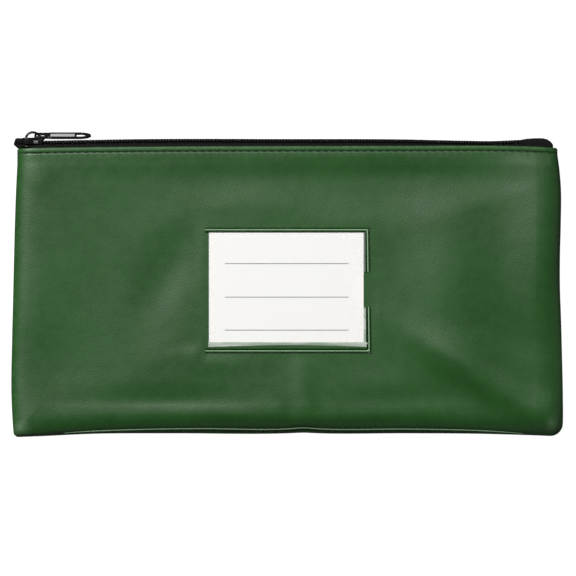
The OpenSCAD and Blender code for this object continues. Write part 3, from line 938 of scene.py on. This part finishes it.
def coil(side):
    """One coil of flattened loops, half a turn on from the other side's."""
    turns = int((COIL_RIGHT - COIL_LEFT) / COIL_PITCH)
    phase = np.linspace(0, turns * math.tau, turns * 14 + 1)
    x = COIL_LEFT + (0 if side > 0 else COIL_PITCH / 2) + phase * COIL_PITCH / math.tau
    x = np.minimum(x, COIL_RIGHT)
    # each loop has a fuller head where it hooks into the other coil
    head = np.maximum(0, -np.cos(phase)) ** 6
    shape = Shape()
    chain_tube(shape, side, x, LOOP_HALF * np.sin(phase) * (1 - 0.25 * head),
               LOOP_OUT + LOOP_REACH * np.cos(phase) + parting(x), WIRE_R + 0.05 * head, 7, up=(1, 0, 0))
    return shape.piece("coil", NYLON)


def coil_cord(side):
    """The filler cord inside the coil."""
    x = np.arange(COIL_LEFT, COIL_RIGHT, 2.0)
    shape = Shape()
    chain_tube(shape, side, x, 0, 1.45 + parting(x), 0.28, 8)
    return shape.piece("cord", BLACK_THREAD)


def coil_thread(side):
    """Two rows of thread: one over the coil's back, one under the tape."""
    x = np.arange(COIL_LEFT, COIL_RIGHT, COIL_PITCH / 6)
    zigzag = 0.24 * np.sin(math.tau * x / COIL_PITCH)
    ripple = 0.05 * np.cos(2 * math.tau * x / COIL_PITCH)
    shape = Shape()
    chain_tube(shape, side, x, 0.98 + ripple, 1.75 + zigzag + parting(x), 0.13, 5)
    chain_tube(shape, side, x, -1.52, 1.75 + zigzag + parting(x) * 0.5, 0.13, 5)
    return shape.piece("coil_thread", BLACK_THREAD)


# Cross-section of the tape: distance below the chain, and out from the middle
TAPE_RUN = [(0.98, 0.55), (0.96, 1.4), (1.02, 2.4), (1.18, 3.3), (1.55, 4.05), (2.00, 4.55),
            (2.60, 4.80), (3.60, 4.90), (6.0, 4.93), (10.0, 4.93)]
TAPE_HALF = 0.2                          # half its thickness


def tape(side):
    """One half of the woven tape, from the coil's back round to the hem's inner side."""
    run = np.array(TAPE_RUN)
    along = np.gradient(run, axis=0)
    along /= np.linalg.norm(along, axis=1)[:, None]
    normal = np.stack([-along[:, 1], along[:, 0]], 1) * TAPE_HALF
    below, out = np.concatenate([run + normal, (run - normal)[::-1]]).T
    sections = []
    for x in np.append(np.arange(-133.6, 132.5, 1.9), 132.6):
        y = Y_CHAIN + curve_through(CHAIN_RISE, x) - below
        # at the ends of the mouth the tape is drawn in between the seams
        depth = out * (1 - 0.62 * smoothstep(SIDE - 14, SIDE - 2, abs(x)))
        # under the hem it lies on the panel's inner side
        room = face_height(np.full(len(y), x), y, side) - SKIN - 0.42
        depth = np.where(below > 2.2, np.minimum(depth, room), depth)
        sections.append(np.stack([np.full(len(y), x), y, MID + side * depth], 1)[::side])
    shape = Shape()
    shape.loft(sections)
    return shape.piece("tape", TAPE)


for side in (1, -1):
    on_its_leaf(coil(side), side, "zipper_coil", "black_nylon", "coil")
    on_its_leaf(coil_cord(side), side, "coil_filler_cord", "black_thread", "coil_cord")
    on_its_leaf(coil_thread(side), side, "coil_thread", "black_thread", "coil_stitching")
    on_its_leaf(tape(side), side, "zipper_tape_woven", "black_tape", "zipper_tape")


def tack(name, node, xs, top, half_z):
    """Threads sewn across the zipper's end."""
    shape = Shape()
    y = top + 0.05
    for x in xs:
        shape.tube([(x, y - 0.9, MID - half_z), (x + 0.08, y - 0.1, MID - half_z * 0.6),
                    (x, y + 0.02, MID), (x - 0.06, y - 0.1, MID + half_z * 0.6),
                    (x, y - 0.9, MID + half_z)], 0.16, 6, up=(1, 0, 0))
    fixed(shape.piece(name, BLACK_THREAD), "bag", "black_thread", node)


# The tapes' tails at the left, folded over in a block, and the smooth wrapped end at the right:
# x, and height over the chain's line
HEM = Y_FOLD - Y_CHAIN
LEFT_END = [(-138.5, -0.9), (-138.4, -0.1), (-137.6, 2.3), (-136.4, 2.5), (-132.8, 2.3), (-131.4, 1.5),
            (-131.4, HEM - 0.9), (-136.2, HEM - 0.8)]
RIGHT_END = [(117.6, 1.5), (120.6, 2.15), (125.0, 2.45), (129.0, 2.45), (131.4, 1.9), (133.3, 0.6),
             (134.4, -0.9), (134.3, HEM - 1.4), (117.6, HEM - 1.2)]
for name, end, r, thickness, bevel in (("left_zipper_end", LEFT_END, 0.5, 6.0, 0.8),
                                       ("right_zipper_end", RIGHT_END, 0.4, 6.1, 1.1)):
    flat_plate(eased([(x, Y_CHAIN + y) for x, y in end], r), thickness, MID, bevel, name, TAPE, "bag",
               "black_tape")
tack("left_zipper_tack", "left_zipper_bartack", [-136.4 + 0.62 * i for i in range(4)], Y_CHAIN + 2.3, 2.9)
tack("right_zipper_tack", "right_zipper_bartack", [127.0 + 0.62 * i for i in range(4)], Y_CHAIN + 2.35, 2.9)


# ---- Slider and pull tab ----

def tube_mesh(path, radius, sides, flat=1.0, up=(0, 0, 1)):
    shape = Shape()
    shape.tube(path, radius, sides, flat, up)
    mesh = bpy.data.meshes.new("tube")
    mesh.from_pydata([tuple(map(float, v)) for v in shape.verts], [], shape.faces)
    mesh.materials.append(ENAMEL)
    return mesh


def spline_path(points):
    """A smooth path through points, in 6 steps from each to the next."""
    p = np.array(points, float)
    run = np.concatenate([[0], np.cumsum(np.linalg.norm(np.diff(p, axis=0), axis=1))])
    s = np.linspace(0, run[-1], (len(p) - 1) * 6 + 1)
    return np.stack([curve_through(list(zip(run, p[:, c])), s) for c in range(p.shape[1])], 1)


def mirrored(side):
    return side + flipped(side)


slider_place = Matrix.Translation((SLIDER_X, Y_CHAIN, MID))
plan = mirrored([(-5.75, 2.9), (-5.35, 3.7), (-4.6, 4.3), (-3.6, 4.55), (-1.8, 4.55), (-0.4, 4.3),
                 (1.0, 3.85), (2.4, 3.65), (4.6, 3.65), (5.25, 3.4), (5.5, 2.8)])
waist = mirrored([(-5.2, 1.6), (-4.2, 2.6), (-1.0, 2.6), (1.4, 2.0), (4.4, 1.9), (5.0, 1.2)])
flange = [(-4.7, 4.1), (-4.5, 4.55), (-1.8, 4.58), (-0.4, 4.32), (1.0, 3.87), (2.4, 3.67), (4.6, 3.67),
          (4.9, 3.1), (1.7, 3.12), (-0.8, 4.08)]
post = [(-5.1, -0.35), (-4.2, -0.58), (-2.4, -0.58), (-0.9, 0), (-2.4, 0.58), (-4.2, 0.58), (-5.1, 0.35)]
slider_parts = [
    plate(plan, 1.74, 2.50, 0.24, ENAMEL),
    plate(waist, 2.3, 2.72, 0.16, ENAMEL),
    plate(plan, -2.14, -1.60, 0.2, ENAMEL),
    plate(flange, -0.64, 1.9, 0.12, ENAMEL),
    plate(flipped(flange), -0.64, 1.9, 0.12, ENAMEL),
    plate(post, -1.9, 1.9, 0.05, ENAMEL),
]
bail = [(-3.75, 1.55), (-3.84, 2.5), (-3.45, 3.9), (-2.35, 5.0), (-0.75, 5.46), (0.9, 5.22), (2.3, 4.4),
        (3.4, 3.1), (4.15, 1.55)]
slider_parts.append(tube_mesh(spline_path([(x, y, 0) for x, y in bail]), 0.62, 14, 1.3))
# the rubbed patch on the side of the flange, where bare metal shows
rubbed = [(0.25, 4.05), (0.25, 4.40), (2.35, 4.05), (2.35, 3.6)]
slider_parts.append(plate(rubbed, -0.35, 1.15, 0.08, ZINC))
fixed(joined("slider_cast", slider_parts, slider_place), "slider", "black_enamel", "slider_body")

TAB_TIP = math.radians(5)                # the tab hangs a little loose on the bail
pull = next(j for j in frame["joints"] if j["name"] == "pull_swing")
pull_axis = Vector(pull["axis"])
lean = math.atan2(-pull_axis.y, pull_axis.z)
pull_place = Matrix.Translation(Vector(pull["pos_m"]) / MM) @ Matrix.Rotation(lean + TAB_TIP, 4, "X")
TAB_L, TAB_HALF, HEAD_HALF = 28.3, 3.3, 2.95
tab_outline = eased(mirrored([(-0.4, HEAD_HALF), (6.6, HEAD_HALF), (8.4, TAB_HALF), (23.6, TAB_HALF),
                              (26.6, 2.35), (TAB_L, 0.9)]), 1.0)
head_window = eased([(0.5, 1.5), (4.6, 1.5), (5.2, 0), (4.6, -1.5), (0.5, -1.5)], 0.5)
web_window = eased(mirrored([(7.6, 2.1), (20.0, 2.1)]), 0.7)
tip_hole = eased([(20.9, 2.1), (24.0, 2.1), (25.8, 1.1), (26.3, 0), (25.8, -1.1), (24.0, -2.1),
                  (20.9, -2.1)], 0.7)
tab_parts = [
    plate(tab_outline, -0.55, 0.55, 0.16, ENAMEL, (head_window, web_window, tip_hole)),
    plate(mirrored([(7.2, 2.5), (20.5, 2.5)]), -0.16, 0.16, 0.04, WEB),
    tube_mesh([(0, 0, z) for z in (-2.7, -1.5, 0, 1.5, 2.7)], 0.4, 14, up=(1, 0, 0)),
]
fixed(joined("pull_tab_cast", tab_parts, pull_place), "pull", "black_enamel", "pull_tab")


# ---- Card pocket ----

FILM_LEFT, WELD_RIGHT = film_low[0], film_high[0] - 1.5
WELD_TOP, WELD_BOTTOM = film_high[1] - 1.1, film_low[1] + 1.1
NOTCH_Y, NOTCH_GAP = (film_low[1] + film_high[1]) / 2 + 0.35, 8.9
NOTCH_X, NOTCH_R = 43.7, 11.3

reach = math.asin(NOTCH_GAP / NOTCH_R)
notch = [(NOTCH_X - NOTCH_R * math.cos(a), NOTCH_Y + NOTCH_R * math.sin(a))
         for a in np.linspace(-reach, reach, 25)]
film_x0, film_x1 = card_low[0] - 0.3, WELD_RIGHT - 1.1
film_y0, film_y1 = card_low[1] - 0.1, WELD_TOP - 1.1
film_edge = [(film_x0, film_y0), (film_x1, film_y0), (film_x1, NOTCH_Y - NOTCH_GAP),
             *(point for point in notch if point[0] < film_x1),
             (film_x1, NOTCH_Y + NOTCH_GAP), (film_x1, film_y1), (film_x0, film_y1)]
flat_plate(film_edge, 0.14, TOP + 0.52, 0.03, "pocket_film", FILM, "front", "clear_film", "window_film")

# the film's free strips under the card and beside it, bending down to the weld
BULGE_RUN = [(0.0, 0.60), (0.35, 0.62), (0.8, 0.56), (1.3, 0.42), (1.8, 0.26), (2.3, 0.16)]
BULGE_THICK = 0.12


def bulge_section(outer):
    return outer + [(x, y, z - BULGE_THICK) for x, y, z in reversed(outer)]


bulge, strips = Shape(), []
for x in np.linspace(film_x0, WELD_RIGHT - 0.2, 40):
    width = 0.62 + 0.38 * abs((x - 2) / 38) ** 1.5
    strips.append(bulge_section([(x, film_y0 + 0.1 - d * width, TOP + h) for d, h in BULGE_RUN]))
bulge.loft(strips)
bulge.loft([bulge_section([(card_high[0] + d * 0.5, y, TOP + h) for d, h in BULGE_RUN])
            for y in np.linspace(NOTCH_Y - NOTCH_GAP - 0.3, film_y0 - 0.2, 24)])
fixed(bulge.piece("pocket_film_bulge", BULGE, sharp=40), "front", "clear_film")

# Across the weld: offset outwards, height over the vinyl, and its painted shade as a groove (up to 1) or
# painted highlight as the crest (-1)
WELD_RUN = [(-1.30, -0.12, 0), (-1.30, 0.50, 0.6), (-1.05, 0.54, 0.8), (-0.80, 0.34, 1),
            (-0.58, 0.20, 1), (-0.36, 0.44, 0.2), (-0.14, 0.66, -1), (0.14, 0.66, -1), (0.38, 0.42, 0.2),
            (0.60, 0.14, 1), (0.84, 0.14, 1), (1.06, 0.26, 0.6), (1.28, 0.14, 0.2), (1.40, -0.12, 0)]


def weld(shape, corners, counts):
    """A strip with the weld's profile, clockwise round corners in x and y, mitred at them."""
    runs = [np.linspace(a, b, n, endpoint=False) for a, b, n in zip(corners, corners[1:], counts)]
    path = np.concatenate([*runs, corners[-1:]])
    sections = []
    for i, p in enumerate(path):
        before = (p - path[i - 1]) if i else (path[1] - p)
        after = (path[i + 1] - p) if i < len(path) - 1 else before
        before, after = before / np.linalg.norm(before), after / np.linalg.norm(after)
        out = np.array([-(before + after)[1], (before + after)[0]])
        out /= np.linalg.norm(out)
        out /= max(0.3, float(out @ np.array([-after[1], after[0]])))
        sections.append([(p[0] + out[0] * o, p[1] + out[1] * o, TOP + h) for o, h, _ in WELD_RUN])
    shape.loft(sections)


rim = Shape()
RIM_LEFT, RIM_LOW_X = FILM_LEFT - 0.4, WELD_RIGHT + 0.7
weld(rim, [(RIM_LEFT, WELD_TOP), (WELD_RIGHT - 0.2, WELD_TOP), (WELD_RIGHT + 0.1, NOTCH_Y + NOTCH_GAP)],
     (40, 10))
weld(rim, [(WELD_RIGHT + 0.4, NOTCH_Y - NOTCH_GAP), (RIM_LOW_X, WELD_BOTTOM), (RIM_LEFT, WELD_BOTTOM)],
     (10, 40))
rim_obj = rim.piece("pocket_weld", WELD, sharp=62)
# painted shade in the weld's grooves and painted highlight on its crest, from WELD_RUN's last column
weld_shade_and_highlight = [groove for _, _, groove in WELD_RUN]
paint(rim_obj.data, "groove", weld_shade_and_highlight * (len(rim.verts) // len(WELD_RUN)))
fixed(rim_obj, "front", "clear_film")

card_edge = eased([(card_low[0], card_low[1]), (card_high[0], card_low[1]),
                   (card_high[0], card_high[1]), (card_low[0], card_high[1])], 0.5)
flat_plate(card_edge, 0.24, (card_low[2] + card_high[2]) / 2, 0.03, "name_card_paper", PAPER, "card",
           "white_card", "name_card")
ruling = Shape()
for share in (0.718, 0.412, 0.110):
    y = card_low[1] + share * (card_high[1] - card_low[1])
    corners = [(card_low[0] + 8.0, y - 0.2), (card_high[0] - 7.6, y - 0.2),
               (card_high[0] - 7.6, y + 0.2), (card_low[0] + 8.0, y + 0.2)]
    ruling.loft([[(px, py, card_high[2] + rise) for px, py in corners] for rise in (-0.01, 0.012)])
fixed(ruling.piece("card_ruling", INK, sharp=30), "card", "white_card")


# ---- Floor, light and camera ----

def floor_look():
    look = Look("floor_white", Roughness=0.9)
    look.colour(look.mix(look.noise(400, 2), (0.10, 0.10, 0.10), (0.12, 0.12, 0.12)))
    look.shader.inputs["Emission Color"].default_value = (1, 1, 1, 1)
    look.shader.inputs["Emission Strength"].default_value = 1.0
    return look.mat


FLOOR_HALF, FLOOR_Z = 1500, -0.4
floor_corners = [(x * FLOOR_HALF, y * FLOOR_HALF, FLOOR_Z) for x, y in ((-1, -1), (1, -1), (1, 1), (-1, 1))]
floor = mesh_piece("floor", floor_corners, [(0, 1, 2, 3)], [floor_look()])
floor.visible_glossy = floor.visible_diffuse = False

scene = bpy.context.scene
scene.view_settings.view_transform = "Standard"
scene.world = bpy.data.worlds.new("studio")
scene.world.use_nodes = True
background = scene.world.node_tree.nodes["Background"].inputs
background["Color"].default_value = (1, 1, 1, 1)
background["Strength"].default_value = 0.08


def softbox(name, place, size, watts):
    light = bpy.data.lights.new(name, "AREA")
    light.shape = "RECTANGLE"
    light.size, light.size_y = size
    light.energy = watts
    obj = new_object(name, light)
    obj.location = place
    obj.rotation_euler = (-Vector(place)).to_track_quat("-Z", "Y").to_euler()


softbox("key", (-1.2, 1.45, 2.35), (0.9, 0.8), 114)
softbox("fill", (1.5, 1.3, 1.9), (0.9, 0.9), 6)
softbox("low", (0.3, -2.2, 0.32), (1.8, 0.3), 1.2)
softbox("side", (2.2, 0.1, 0.4), (0.3, 1.8), 1.6)

VIEW_W = 291.5                           # mm across the picture, at the outline's height
LENS, SENSOR = 240, 36
camera = bpy.data.cameras.new("camera")
camera.lens, camera.sensor_width = LENS, SENSOR
eye = new_object("camera", camera)
eye.location = (0.25 * MM, -1.8 * MM, (MID + 1 + VIEW_W * LENS / SENSOR) * MM)
scene.camera = eye
